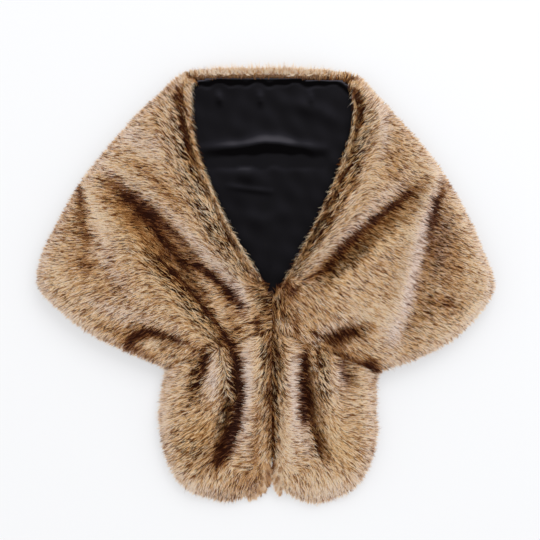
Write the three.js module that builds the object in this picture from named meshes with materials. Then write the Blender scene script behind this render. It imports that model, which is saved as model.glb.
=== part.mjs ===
// A faux fur capelet laid flat on its back panel, fur side out, with the two fronts closed at the
// waist over the back. A gathered tail hangs from each front below the waist seam. The black
// lining of the back shows in the neck opening.
//
// Sizes are in millimetres. +Z is up, +Y runs from the hem to the neck, and +X is to the right
// seen from above. X is measured from the centre front until the last step, which moves the
// origin to the middle of the outline at the surface that the capelet lies on.
//
// Every piece is a cloth wall: a plan made of cross sections from an inner to an outer edge, a top
// face and a bottom face. Fur cloth counts as the backing with its pile, as far as the pile reaches.

import * as THREE from 'three';

// ---- Driving sizes ----

const FUR_WALL = 18; // front and tail cloth, backing and standing pile
const BACK_WALL = 10; // back cloth, its pile pressed flat under the garment
const LINING_WALL = 1.5; // satin with its interlining
const SEAM_GAP = 0.3; // clearance between neighbouring pieces
const LEAST_WALL = 1.2; // thinnest place of a front or tail
const LEAST_RIM = 0.6; // thinnest rim of the back, at the side folds

const LINING_FLOOR = BACK_WALL + SEAM_GAP; // underside of the lining
const FRONT_FLOOR = LINING_FLOOR + LINING_WALL + 0.4; // underside of the fronts over the lining
const EDGE_FLOOR = BACK_WALL + SEAM_GAP; // underside of the fronts outside the lining
const LINING_INSET = 24; // from the back's outline to the lining's edge
const FLOOR_STEP = [4, 12]; // the fronts' underside rises over this distance in from the outline
const CENTRE_GAP = 0.25; // from the centre front to each front's closed edge

const FUR = new THREE.MeshStandardMaterial({ color: 0xb08d62, roughness: 0.9, metalness: 0 });
const SATIN = new THREE.MeshStandardMaterial({ color: 0x17161b, roughness: 0.45, metalness: 0 });

// ---- Section tables: a row for each cross section, from the neck down ----
// inner: neck or centre front edge. outer: side fold or hem edge. loft: height over the floor.

const LEFT_FRONT = [
  { at: 'shoulder', inner: [-105, 286], outer: [-127, 297], loft: 13 },
  { at: 'collar', inner: [-108, 258], outer: [-155, 272], loft: 15 },
  { at: 'collarbone', inner: [-106, 225], outer: [-191, 238], loft: 17 },
  { at: 'upper arm', inner: [-97, 186], outer: [-228, 196], loft: 18 },
  { at: 'chest', inner: [-81, 144], outer: [-266, 148], loft: 19 },
  { at: 'bust', inner: [-60, 97], outer: [-297, 95], loft: 20 },
  { at: 'elbow', inner: [-36, 55], outer: [-320, 49], loft: 21 },
  { at: 'hem corner', inner: [-13, 17], outer: [-329, 2], loft: 22 },
  { at: 'closure', inner: [-2, -7], outer: [-297, -35], loft: 23 },
  { at: 'side hem', inner: [-CENTRE_GAP, -25], outer: [-252, -69], loft: 23 },
  { at: 'front hem', inner: [-CENTRE_GAP, -42], outer: [-204, -93], loft: 23 },
  { at: 'waist seam', inner: [-CENTRE_GAP, -59], outer: [-151, -115], loft: 22 },
];

const RIGHT_FRONT = [
  { at: 'shoulder', inner: [104, 282], outer: [121, 294], loft: 13 },
  { at: 'collar', inner: [108, 255], outer: [146, 269], loft: 15 },
  { at: 'collarbone', inner: [108, 227], outer: [174, 238], loft: 17 },
  { at: 'upper arm', inner: [97, 188], outer: [212, 196], loft: 18 },
  { at: 'chest', inner: [79, 140], outer: [246, 148], loft: 19 },
  { at: 'bust', inner: [58, 95], outer: [277, 94], loft: 20 },
  { at: 'elbow', inner: [38, 55], outer: [297, 46], loft: 21 },
  { at: 'hem corner', inner: [17, 17], outer: [312, 0], loft: 22 },
  { at: 'closure', inner: [2, -7], outer: [289, -41], loft: 23 },
  { at: 'side hem', inner: [CENTRE_GAP, -25], outer: [252, -76], loft: 23 },
  { at: 'front hem', inner: [CENTRE_GAP, -42], outer: [207, -101], loft: 23 },
  { at: 'waist seam', inner: [CENTRE_GAP, -59], outer: [151, -121], loft: 22 },
];
const CORNER_ROW = 7; // the row where the side fold ends and the hem begins, on both fronts

const LEFT_TAIL = [
  { at: 'waist seam', inner: [-CENTRE_GAP, -59.4], outer: [-151, -115.4], loft: 22 },
  { at: 'gathers', inner: [-CENTRE_GAP, -90], outer: [-156, -143], loft: 25 },
  { at: 'upper lobe', inner: [-CENTRE_GAP, -131], outer: [-160, -176], loft: 28 },
  { at: 'widest', inner: [-CENTRE_GAP, -173], outer: [-157, -210], loft: 29 },
  { at: 'lower lobe', inner: [-CENTRE_GAP, -215], outer: [-149, -243], loft: 28 },
  { at: 'turn', inner: [-2, -253], outer: [-133, -272], loft: 26 },
  { at: 'tip', inner: [-10, -279], outer: [-112, -290], loft: 22, bow: -1 },
  { at: 'end', inner: [-30, -293], outer: [-84, -299], loft: 16, bow: -6 },
];

const RIGHT_TAIL = [
  { at: 'waist seam', inner: [CENTRE_GAP, -59.4], outer: [151, -121.4], loft: 22 },
  { at: 'gathers', inner: [CENTRE_GAP, -90], outer: [147, -148], loft: 25 },
  { at: 'upper lobe', inner: [CENTRE_GAP, -131], outer: [148, -176], loft: 28 },
  { at: 'widest', inner: [CENTRE_GAP, -173], outer: [149, -207], loft: 29 },
  { at: 'lower lobe', inner: [CENTRE_GAP, -215], outer: [143, -238], loft: 28 },
  { at: 'turn', inner: [2, -253], outer: [130, -267], loft: 26 },
  { at: 'tip', inner: [10, -281], outer: [110, -288], loft: 22, bow: -1 },
  { at: 'end', inner: [32, -297], outer: [82, -301], loft: 16, bow: -6 },
];

// ---- Fold tables: a row for each fold, along a curve from one end through via to the other ----
// rise: height of a ridge, or depth of a trough below zero. reach: half width of the fold.

const LEFT_FRONT_FOLDS = [
  { fold: 'long trough', from: [-226, 152], via: [-150, 110], to: [-67, -62], rise: -15, reach: 14 },
  { fold: 'ridge beside it', from: [-200, 70], via: [-140, 50], to: [-98, -58], rise: 7, reach: 17 },
  { fold: 'inner trough', from: [-128, 52], via: [-72, 24], to: [-38, -48], rise: -11, reach: 11 },
  { fold: 'lapel ridge', from: [-100, 130], via: [-55, 40], to: [-18, -42], rise: 6, reach: 13 },
  { fold: 'side valley', from: [-262, 138], via: [-262, 92], to: [-250, 30], rise: -6, reach: 12 },
  { fold: 'shoulder dent', from: [-188, 172], via: [-170, 164], to: [-152, 150], rise: -3, reach: 11 },
  { fold: 'hem tuck', from: [-198, -66], via: [-165, -50], to: [-118, -88], rise: -9, reach: 12 },
];

const RIGHT_FRONT_FOLDS = [
  { fold: 'long trough', from: [222, 152], via: [140, 82], to: [20, -12], rise: -13, reach: 14 },
  { fold: 'ridge beside it', from: [215, 110], via: [140, 52], to: [60, -20], rise: 6, reach: 16 },
  { fold: 'lapel ridge', from: [110, 130], via: [68, 58], to: [28, 12], rise: 6, reach: 13 },
  { fold: 'side valley', from: [239, 148], via: [232, 46], to: [184, -80], rise: -8, reach: 13 },
  { fold: 'side ridge', from: [232, 146], via: [205, 60], to: [172, -60], rise: 5, reach: 13 },
  { fold: 'corner dent', from: [230, -28], via: [252, -28], to: [276, -16], rise: -4, reach: 11 },
  { fold: 'hem tuck', from: [140, -54], via: [100, -52], to: [62, -86], rise: -11, reach: 12 },
  { fold: 'closure tuck', from: [34, -22], via: [44, -38], to: [40, -62], rise: -5, reach: 7 },
];

const LEFT_TAIL_FOLDS = [
  { fold: 'deep gather', from: [-52, -72], via: [-38, -160], to: [-78, -252], rise: -22, reach: 12 },
  { fold: 'outer gather', from: [-96, -86], via: [-94, -122], to: [-112, -164], rise: -9, reach: 9 },
  { fold: 'middle roll', from: [-72, -92], via: [-64, -140], to: [-92, -220], rise: 6, reach: 12 },
  { fold: 'inner roll', from: [-24, -78], via: [-26, -150], to: [-30, -240], rise: 4, reach: 13 },
];

const RIGHT_TAIL_FOLDS = [
  { fold: 'deep gather', from: [47, -76], via: [34, -166], to: [76, -256], rise: -20, reach: 12 },
  { fold: 'outer gather', from: [96, -98], via: [100, -118], to: [114, -142], rise: -9, reach: 9 },
  { fold: 'middle roll', from: [68, -98], via: [62, -150], to: [96, -220], rise: 5, reach: 14 },
  { fold: 'inner roll', from: [22, -78], via: [22, -150], to: [28, -240], rise: 4, reach: 12 },
];

const LINING_FOLDS = [
  { fold: 'arched wrinkle', from: [-84, 198], via: [4, 228], to: [88, 200], rise: 6, reach: 10 },
  { fold: 'left crease', from: [-58, 143], via: [-30, 138], to: [-4, 132], rise: 3, reach: 8 },
  { fold: 'low wrinkle', from: [-44, 118], via: [-6, 108], to: [40, 112], rise: 2.5, reach: 10 },
];

// ---- Plan curves ----

const plan = ([x, y]) => new THREE.Vector2(x, y);

function panelOf(rows) {
  return {
    inner: new THREE.SplineCurve(rows.map((row) => plan(row.inner))),
    outer: new THREE.SplineCurve(rows.map((row) => plan(row.outer))),
    loft: new THREE.SplineCurve(rows.map((row, i) => new THREE.Vector2(i, row.loft ?? 0))),
    bow: new THREE.SplineCurve(rows.map((row, i) => new THREE.Vector2(i, row.bow ?? 0))),
  };
}

// The point a share u of the way across the section a share v of the way down a panel.
function planPoint(panel, u, v) {
  const point = panel.inner.getPoint(v).lerp(panel.outer.getPoint(v), u);
  point.y += panel.bow.getPoint(v).y * 4 * u * (1 - u);
  return point;
}

const EDGE_STEPS = 48;

// An edge of a panel as short straight pieces: along v at u = 0 or 1, or along u at v = 0 or 1.
function edgeLine(panel, side, from = 0, to = 1) {
  const line = [];
  for (let i = 0; i <= EDGE_STEPS; i++) {
    const t = from + ((to - from) * i) / EDGE_STEPS;
    if (side === 'inner') line.push(planPoint(panel, 0, t));
    if (side === 'outer') line.push(planPoint(panel, 1, t));
    if (side === 'top') line.push(planPoint(panel, t, 0));
    if (side === 'bottom') line.push(planPoint(panel, t, 1));
  }
  return line;
}

// Distance from a plan point to a line of points, and how far along the line the nearest spot is.
function nearestOn(line, point) {
  let best = { distance: Infinity, along: 0 };
  for (let i = 0; i + 1 < line.length; i++) {
    const step = line[i + 1].clone().sub(line[i]);
    const reached = point.clone().sub(line[i]);
    const share = THREE.MathUtils.clamp(reached.dot(step) / Math.max(step.lengthSq(), 1e-9), 0, 1);
    const distance = reached.sub(step.multiplyScalar(share)).length();
    if (distance < best.distance) best = { distance, along: (i + share) / (line.length - 1) };
  }
  return best;
}

// ---- Height over the plan ----

// A rounded edge: low at the edge itself, full height from radius inwards.
function edgeRise(distance, radius, low) {
  const short = 1 - Math.min(distance / radius, 1);
  return low + (1 - low) * Math.sqrt(1 - short * short);
}

const FOLD_STEPS = 20;
const FOLD_END = 0.22; // share of a fold's length over which each end fades out

function foldLines(folds) {
  return folds.map((fold) => ({
    ...fold,
    line: new THREE.QuadraticBezierCurve(plan(fold.from), plan(fold.via), plan(fold.to))
      .getPoints(FOLD_STEPS),
  }));
}

function foldHeight(lines, point) {
  let height = 0;
  for (const { line, rise, reach } of lines) {
    const { distance, along } = nearestOn(line, point);
    const end = THREE.MathUtils.smoothstep(Math.min(along, 1 - along), -0.02, FOLD_END);
    height += rise * end * Math.exp(-((distance / reach) ** 2));
  }
  return height;
}

// The back's hidden hem line under the tails, which drape off it onto the surface over the stretch
// in drop.
const HEM = { middle: -118, lift: 14, halfWidth: 150, drop: [3, 32] };

function hemAt(x) {
  return HEM.middle + HEM.lift * (x / HEM.halfWidth) ** 2;
}

// ---- Walls ----

// Grid lines that bunch towards both edges, where the cloth turns down.
const BUNCH = 0.45;

function bunched(count) {
  return Array.from({ length: count + 1 }, (_, i) => {
    const t = i / count;
    return (1 - BUNCH) * t + BUNCH * (0.5 - 0.5 * Math.cos(Math.PI * t));
  });
}

// Grid lines at shares of the sections: a list of section numbers, with parts of one between them.
const atSections = (list) => list.map((section) => section / list.at(-1));

// A closed wall over a panel's plan, with a grid line at each share in across and down.
// heights(point, v) gives its top and bottom there.
function wall(name, panel, across, down, heights, material) {
  const tops = [];
  const bottoms = [];
  for (const v of down) {
    for (const u of across) {
      const point = planPoint(panel, u, v);
      const { top, bottom } = heights(point, v);
      tops.push(point.x, point.y, top);
      bottoms.push(point.x, point.y, bottom);
    }
  }
  const index = [];
  const width = across.length;
  const columns = width - 1;
  const rows = down.length - 1;
  const layer = width * down.length;

  const start = planPoint(panel, 0, 0.5);
  const cross = planPoint(panel, 1, 0.5).sub(start).cross(planPoint(panel, 0, 0.6).sub(start));
  const triangle = (a, b, c) => (cross > 0 ? index.push(a, b, c) : index.push(a, c, b));
  const quad = (a, b, c, d) => {
    triangle(a, b, c);
    triangle(a, c, d);
  };
  const topAt = (i) => tops[3 * i + 2];
  for (let j = 0; j < rows; j++) {
    for (let i = 0; i < columns; i++) {
      const a = j * width + i;
      const [b, c, d] = [a + 1, a + width + 1, a + width];
      const under = [a, d, c, b].map((corner) => corner + layer);
      // The diagonal is the one that runs more nearly level, along the folds.
      if (Math.abs(topAt(a) - topAt(c)) <= Math.abs(topAt(b) - topAt(d))) {
        quad(a, b, c, d);
        quad(...under);
      } else {
        quad(b, c, d, a);
        quad(under[1], under[2], under[3], under[0]);
      }
    }
  }
  const rim = (a, b) => quad(a, a + layer, b + layer, b);
  for (let i = 0; i < columns; i++) {
    rim(i, i + 1);
    rim(rows * width + i + 1, rows * width + i);
  }
  for (let j = 0; j < rows; j++) {
    rim((j + 1) * width, j * width);
    rim(j * width + columns, (j + 1) * width + columns);
  }

  const geometry = new THREE.BufferGeometry();
  geometry.setAttribute('position', new THREE.Float32BufferAttribute([...tops, ...bottoms], 3));
  geometry.setIndex(index);
  geometry.computeVertexNormals();
  const mesh = new THREE.Mesh(geometry, material);
  mesh.name = name;
  return mesh;
}

// The two faces of lofted fur cloth: it lies on the floor where it is low and arches over a hollow
// of its own wall thickness below the surface where it is high.
function furFaces(top, floor) {
  const bottom = Math.max(floor, top - FUR_WALL);
  return { top: Math.max(top, bottom + LEAST_WALL), bottom };
}

// ---- Fronts ----

const SIDE_FOLD = { radius: 20, low: 0.04 };
const FRONT_HEM = { radius: 16, low: 0.18 };
const NECK_EDGE = { radius: 20, low: 0.1 };
const CLOSURE = { radius: 12, low: 0.5 };
const WAIST_SEAM = { radius: 12, low: 0.6 };
const SHOULDER_END = { radius: 12, low: 0.3 };
const NECK_CREST = { from: 19, reach: 10, rise: 6 }; // the turned edge stands up along the neck

function front(name, rows, folds) {
  const panel = panelOf(rows);
  const corner = CORNER_ROW / (rows.length - 1);
  const neck = edgeLine(panel, 'inner', 0, corner);
  const side = edgeLine(panel, 'outer', 0, corner);
  const edges = [
    { line: neck, ...NECK_EDGE },
    { line: edgeLine(panel, 'inner', corner, 1), ...CLOSURE },
    { line: side, ...SIDE_FOLD },
    { line: edgeLine(panel, 'outer', corner, 1), ...FRONT_HEM },
    { line: edgeLine(panel, 'top'), ...SHOULDER_END },
    { line: edgeLine(panel, 'bottom'), ...WAIST_SEAM },
  ];
  const outline = [...side, ...edges[3].line];
  const lines = foldLines(folds);

  const heights = (point, v) => {
    let rise = 1;
    for (const { line, radius, low } of edges) {
      rise *= edgeRise(nearestOn(line, point).distance, radius, low);
    }
    const fromNeck = nearestOn(neck, point).distance;
    const crest = NECK_CREST.rise * Math.exp(-(((fromNeck - NECK_CREST.from) / NECK_CREST.reach) ** 2));
    const inset = THREE.MathUtils.smoothstep(nearestOn(outline, point).distance, ...FLOOR_STEP);
    const floor = THREE.MathUtils.lerp(EDGE_FLOOR, FRONT_FLOOR, inset);
    const loft = panel.loft.getPoint(v).y + crest + foldHeight(lines, point);
    return furFaces(floor + loft * rise, floor);
  };
  return wall(name, panel, bunched(30), bunched(36), heights, FUR);
}

// ---- Tails ----

const TAIL_SIDE = { radius: 24, low: 0.1 };
const TAIL_CENTRE = { radius: 17, low: 0.34 };
const TAIL_END = { radius: 26, low: 0.1 };

function tail(name, rows, folds) {
  const panel = panelOf(rows);
  const edges = [
    { line: edgeLine(panel, 'inner'), ...TAIL_CENTRE },
    { line: edgeLine(panel, 'outer'), ...TAIL_SIDE },
    { line: edgeLine(panel, 'top'), ...WAIST_SEAM },
    { line: edgeLine(panel, 'bottom'), ...TAIL_END },
  ];
  const lines = foldLines(folds);

  const heights = (point, v) => {
    let rise = 1;
    for (const { line, radius, low } of edges) {
      rise *= edgeRise(nearestOn(line, point).distance, radius, low);
    }
    const past = hemAt(point.x) - point.y;
    const floor = FRONT_FLOOR * (1 - THREE.MathUtils.smoothstep(past, ...HEM.drop));
    const loft = panel.loft.getPoint(v).y + foldHeight(lines, point);
    return furFaces(floor + loft * rise, floor);
  };
  return wall(name, panel, bunched(20), bunched(22), heights, FUR);
}

// ---- Back ----
// Its sections run from side to side, on the fronts' own side folds, and then along a hem that
// stays a little short of the fronts'.

const BACK_HEM = [
  { inner: [-288, -27], outer: [280, -32] },
  { inner: [-238, -62], outer: [238, -68] },
  { inner: [-182, -88], outer: [184, -94] },
  { inner: [-100, hemAt(100)], outer: [100, hemAt(100)], bow: HEM.middle - hemAt(100) },
];
const BACK_NECK = { inner: [-103, 302], outer: [97, 300], bow: 3 };
const NECK_ROLL = { width: 18, rise: 10, half: 97, taper: 16 }; // fur standing behind the lining
const BACK_SIDE = { radius: 14, up: BACK_WALL - 0.7 }; // the underside turns up to the side fold
const BACK_END = { radius: 8, up: 3, down: 3 }; // both faces round off at the hem
const BACK_TOP = { radius: 10, up: 4, down: 2 }; // and at the neck
const BACK_ACROSS = [0, 0.1, 0.3, 0.6, 1.4, 3, 5, 7, 9, 11, 12.6, 13.4, 13.7, 13.9, 14];
const BACK_DOWN = [0, 0.35, 0.7, 1, 1.25, 1.45, 1.68, 2, 3, 4, 5, 6, 7, 8, 9, 10, 11, 11.6, 11.85, 12];

const sideRows = LEFT_FRONT.slice(0, CORNER_ROW + 1).map((row, i) => ({
  inner: row.outer,
  outer: RIGHT_FRONT[i].outer,
}));

function back() {
  const rows = [BACK_NECK, ...sideRows, ...BACK_HEM];
  const panel = panelOf(rows);
  const corner = (CORNER_ROW + 1) / (rows.length - 1);
  const neck = edgeLine(panel, 'top');
  const sides = [edgeLine(panel, 'inner', 0, corner), edgeLine(panel, 'outer', 0, corner)];
  const hems = [
    edgeLine(panel, 'inner', corner, 1),
    edgeLine(panel, 'outer', corner, 1),
    edgeLine(panel, 'bottom'),
  ];
  const least = (lines, point) => Math.min(...lines.map((line) => nearestOn(line, point).distance));

  const heights = (point) => {
    const fromNeck = nearestOn(neck, point).distance;
    const sideTurn = 1 - edgeRise(least(sides, point), BACK_SIDE.radius, 0);
    const hemTurn = 1 - edgeRise(least(hems, point), BACK_END.radius, 0);
    const neckTurn = 1 - edgeRise(fromNeck, BACK_TOP.radius, 0);
    const across = Math.abs(point.x);
    const kept = 1 - THREE.MathUtils.smoothstep(across, NECK_ROLL.half - NECK_ROLL.taper, NECK_ROLL.half);
    const roll = Math.max(0, 1 - ((fromNeck - NECK_ROLL.width / 2) / (NECK_ROLL.width / 2)) ** 2);
    const top = BACK_WALL - BACK_END.down * hemTurn
      + kept * (NECK_ROLL.rise * roll - BACK_TOP.down * neckTurn);
    const bottom = Math.max(BACK_SIDE.up * sideTurn, BACK_END.up * hemTurn, BACK_TOP.up * neckTurn);
    return { top, bottom: Math.min(bottom, top - LEAST_RIM) };
  };
  return wall('back', panel, atSections(BACK_ACROSS), atSections(BACK_DOWN), heights, FUR);
}

// ---- Lining of the back ----

const LINING_NECK = { inner: [-101, 279], outer: [99, 277], bow: 2 };
const LINING_DOWN = [
  0, 0.35, 0.65, 1, 1.2, 1.5, 1.8, 2, 2.2, 2.4, 2.6, 2.8, 3, 3.4, 3.8, 4.1, 4.4, 4.7, 5, 6, 7, 8, 9,
];
const LINING_OPEN = [12, 30]; // wrinkles rise over this distance in from the fronts' neck edges
const TOP_PUCKER = { from: 7, reach: 4, rise: 1.6, pitch: 22 }; // gathers under the neck seam

function backLining() {
  const inset = ({ inner, outer }) => ({
    inner: [inner[0] + LINING_INSET, inner[1]],
    outer: [outer[0] - LINING_INSET, outer[1]],
  });
  const hemEnd = hemAt(HEM.halfWidth);
  const hemRow = {
    inner: [-HEM.halfWidth, hemEnd + LINING_INSET],
    outer: [HEM.halfWidth, hemEnd + LINING_INSET],
    bow: HEM.middle - hemEnd,
  };
  const rows = [LINING_NECK, ...sideRows.slice(1).map(inset), inset(BACK_HEM[0]), hemRow];
  const panel = panelOf(rows);
  const neck = edgeLine(panel, 'top');
  const fronts = [LEFT_FRONT, RIGHT_FRONT].map((table) =>
    edgeLine(panelOf(table), 'inner', 0, CORNER_ROW / (table.length - 1)));
  const lines = foldLines(LINING_FOLDS);

  const heights = (point) => {
    const clear = Math.min(...fronts.map((line) => nearestOn(line, point).distance));
    const inside = point.x > fronts[0][nearestRow(fronts[0], point)].x
      && point.x < fronts[1][nearestRow(fronts[1], point)].x;
    const open = inside ? THREE.MathUtils.smoothstep(clear, ...LINING_OPEN) : 0;
    const fromNeck = nearestOn(neck, point).distance;
    const ripple = 0.6 + 0.4 * Math.cos((2 * Math.PI * point.x) / TOP_PUCKER.pitch);
    const pucker = TOP_PUCKER.rise * ripple
      * Math.exp(-(((fromNeck - TOP_PUCKER.from) / TOP_PUCKER.reach) ** 2));
    const bottom = LINING_FLOOR + open * (foldHeight(lines, point) + pucker);
    return { top: bottom + LINING_WALL, bottom };
  };
  return wall('back_lining', panel, bunched(18), atSections(LINING_DOWN), heights, SATIN);
}

// Index of the point of a neck edge that is level with a plan point.
function nearestRow(line, point) {
  let best = 0;
  line.forEach((spot, i) => {
    if (Math.abs(spot.y - point.y) < Math.abs(line[best].y - point.y)) best = i;
  });
  return best;
}

// ---- The capelet ----

const capelet = new THREE.Group();
capelet.name = 'faux_fur_capelet';
capelet.add(
  back(),
  backLining(),
  front('left_front', LEFT_FRONT, LEFT_FRONT_FOLDS),
  front('right_front', RIGHT_FRONT, RIGHT_FRONT_FOLDS),
  tail('left_tail', LEFT_TAIL, LEFT_TAIL_FOLDS),
  tail('right_tail', RIGHT_TAIL, RIGHT_TAIL_FOLDS),
);

const middle = new THREE.Box3().setFromObject(capelet).getCenter(new THREE.Vector3());
capelet.position.set(-middle.x, -middle.y, 0);
capelet.updateMatrixWorld(true);

export default capelet;
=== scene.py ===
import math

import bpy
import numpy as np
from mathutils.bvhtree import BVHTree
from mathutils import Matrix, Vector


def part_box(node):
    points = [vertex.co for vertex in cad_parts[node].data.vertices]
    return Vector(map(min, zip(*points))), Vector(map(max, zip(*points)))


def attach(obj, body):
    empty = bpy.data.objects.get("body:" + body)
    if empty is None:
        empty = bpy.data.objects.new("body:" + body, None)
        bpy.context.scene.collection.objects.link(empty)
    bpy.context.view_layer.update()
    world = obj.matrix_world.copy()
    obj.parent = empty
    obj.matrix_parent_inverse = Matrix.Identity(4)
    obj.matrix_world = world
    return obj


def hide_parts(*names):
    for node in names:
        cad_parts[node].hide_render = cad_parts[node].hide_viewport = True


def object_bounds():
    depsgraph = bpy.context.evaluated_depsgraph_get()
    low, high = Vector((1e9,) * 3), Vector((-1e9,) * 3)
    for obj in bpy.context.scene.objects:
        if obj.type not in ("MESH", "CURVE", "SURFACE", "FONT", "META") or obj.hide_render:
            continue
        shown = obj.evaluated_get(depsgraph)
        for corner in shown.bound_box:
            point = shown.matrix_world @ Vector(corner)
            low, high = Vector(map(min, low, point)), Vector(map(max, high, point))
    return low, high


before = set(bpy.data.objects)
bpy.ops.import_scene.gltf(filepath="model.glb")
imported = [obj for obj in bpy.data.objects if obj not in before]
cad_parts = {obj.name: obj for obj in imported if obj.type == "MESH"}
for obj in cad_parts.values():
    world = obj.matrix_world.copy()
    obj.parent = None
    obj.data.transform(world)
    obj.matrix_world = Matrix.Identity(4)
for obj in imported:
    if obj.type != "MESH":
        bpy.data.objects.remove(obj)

# A faux fur capelet laid flat on its back panel, fur side out. The frame holds each piece as a solid
# that reaches as far as its pile. Here each fur piece becomes a backing cloth, drawn in under the
# faces of that solid, with short hairs rooted in it, and the lining becomes a sheet of satin.
#
# Lengths are in metres, and in millimetres in the tables. A heading is in degrees, anticlockwise from
# +X seen from above: 0 is to the right, 90 towards the neck, 270 towards the tails.
#
# A row of a table is an amount, how far it reaches to each side of its path, and the path's points.

MM = 0.001
CAD_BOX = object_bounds()
RNG = np.random.default_rng(20)

# ---- Camera ----

VIEW_SPAN = 0.756  # width of floor that the frame takes in
VIEW_CENTRE = (0.006, 0.0235)
VIEW_HEIGHT = 3.0


def add_camera():
    data = bpy.data.cameras.new("overhead")
    data.sensor_width = 36.0
    data.lens = data.sensor_width * VIEW_HEIGHT / VIEW_SPAN
    camera = bpy.data.objects.new("overhead", data)
    camera.location = (*VIEW_CENTRE, VIEW_HEIGHT)
    bpy.context.scene.collection.objects.link(camera)
    bpy.context.scene.camera = camera


# ---- Folds and pile ----

# Small folds that the solids leave out. The amount is how far a fold rises or, below zero, sinks.
FOLDS = {
    "left_front": [
        (-3.5, 5, (-110, 30), (-82, 20), (-54, -2), (-33, -26)),
        (2.0, 8, (-126, 18), (-92, -12), (-62, -34)),
        (2.5, 7, (-204, 142), (-158, 100), (-120, 58), (-82, 26), (-46, -12)),
        (-3.0, 7, (-190, -66), (-182, -84)),
        (-3.0, 5, (-172, -64), (-134, -72), (-110, -86)),
        (2.0, 6, (-168, -78), (-136, -84)),
    ],
    "right_front": [
        (2.0, 7, (160, 250), (160, 200)),
        (2.5, 8, (240, 158), (222, 121), (210, 86), (199, 51), (191, 16), (184, -19), (174, -54)),
        (-3.5, 7, (245, 146), (234, 121), (229, 93), (223, 58), (216, 23), (206, -12)),
        (-4.0, 7, (72, -86), (86, -66), (114, -60), (136, -62)),
    ],
    "left_tail": [
        (-3.0, 4, (-74, -75), (-86, -98), (-88, -124)),
        (2.5, 7, (-66, -84), (-54, -110), (-53, -140), (-64, -190)),
    ],
    "right_tail": [
        (-3.0, 4, (73, -88), (70, -117)),
        (-3.0, 5, (109, -103), (115, -125), (119, -145)),
        (2.0, 7, (92, -100), (96, -150)),
    ],
}

# The way the pile lies. The amount is a heading.
NAP = {
    "left_front": [
        (-62, 6, (-106, 276), (-102, 240), (-96, 210), (-78, 160), (-48, 96), (-12, 32)),
        (128, 15, (-130, 266), (-125, 206), (-104, 140), (-70, 76), (-38, 30)),
        (176, 50, (-170, 215), (-290, 40)),
        (164, 30, (-150, 150), (-80, 20)),
        (142, 13, (-162, 54), (-134, 16), (-110, -22), (-82, -50), (-64, -72)),
        (200, 40, (-240, 20), (-160, -40)),
        (214, 30, (-290, -20), (-200, -80), (-120, -100)),
        (196, 24, (-70, -20), (-30, -40)),
    ],
    "right_front": [
        (262, 5, (114, 280), (118, 250), (119, 222), (112, 190)),
        (238, 5, (100, 160), (84, 122), (62, 84), (36, 38), (16, 6)),
        (42, 14, (140, 262), (144, 241), (136, 205), (122, 160), (102, 112), (78, 70), (54, 32)),
        (-24, 50, (176, 190), (290, 40)),
        (-32, 40, (90, 30), (216, -60)),
        (-26, 40, (160, -80), (290, -30)),
        (-48, 26, (34, -30), (100, -76)),
        (-75, 12, (16, -16), (20, -56)),
    ],
    "left_tail": [
        (242, 11, (-3, -64), (-4, -280)),
        (182, 12, (-24, -70), (-26, -150), (-24, -240)),
        (300, 5, (-62, -80), (-48, -110), (-46, -150)),
        (228, 13, (-68, -90), (-66, -140), (-76, -190)),
        (198, 24, (-120, -100), (-134, -160)),
        (212, 26, (-90, -200), (-130, -240)),
        (246, 24, (-90, -290), (-20, -290)),
    ],
    "right_tail": [
        (-62, 11, (22, -64), (22, -280)),
        (-4, 11, (38, -70), (38, -240)),
        (-54, 13, (76, -90), (84, -200)),
        (-8, 26, (130, -120), (140, -200)),
        (-40, 26, (110, -240), (140, -250)),
        (-74, 24, (50, -290), (110, -290)),
    ],
    "back": [
        (96, 30, (-100, 296), (-30, 296)),
        (86, 30, (30, 296), (112, 296)),
        (165, 60, (-130, 290), (-320, 0)),
        (15, 60, (140, 290), (320, 0)),
        (270, 100, (-260, -60), (260, -60)),
        (270, 120, (0, 240), (0, -100)),
    ],
}

# Where the pile stands in coarse locks, from 0 to 1.
COARSE = {
    "left_front": [
        (1.0, 14, (-122, 262), (-119, 206), (-98, 140), (-66, 76), (-34, 26)),
        (1.0, 12, (-158, 48), (-134, 16), (-110, -22), (-82, -50), (-64, -72)),
        (0.8, 12, (-8, 6), (0, -40)),
    ],
    "right_front": [
        (1.0, 13, (134, 262), (138, 236), (128, 196), (112, 152), (90, 106), (66, 64), (40, 20)),
        (0.8, 12, (14, -4), (24, -50)),
        (0.5, 10, (80, 10), (150, 60)),
    ],
    "left_tail": [
        (1.0, 9, (-60, -86), (-48, -112), (-48, -150), (-62, -195)),
        (0.9, 8, (-94, -92), (-98, -160)),
        (0.8, 9, (-4, -70), (-8, -150)),
        (0.4, 30, (-90, -220), (-110, -240)),
    ],
    "right_tail": [
        (0.9, 13, (12, -70), (14, -245)),
        (0.9, 9, (78, -90), (84, -170)),
    ],
    "back": [(0.5, 20, (-110, 296), (112, 296))],
}
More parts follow.
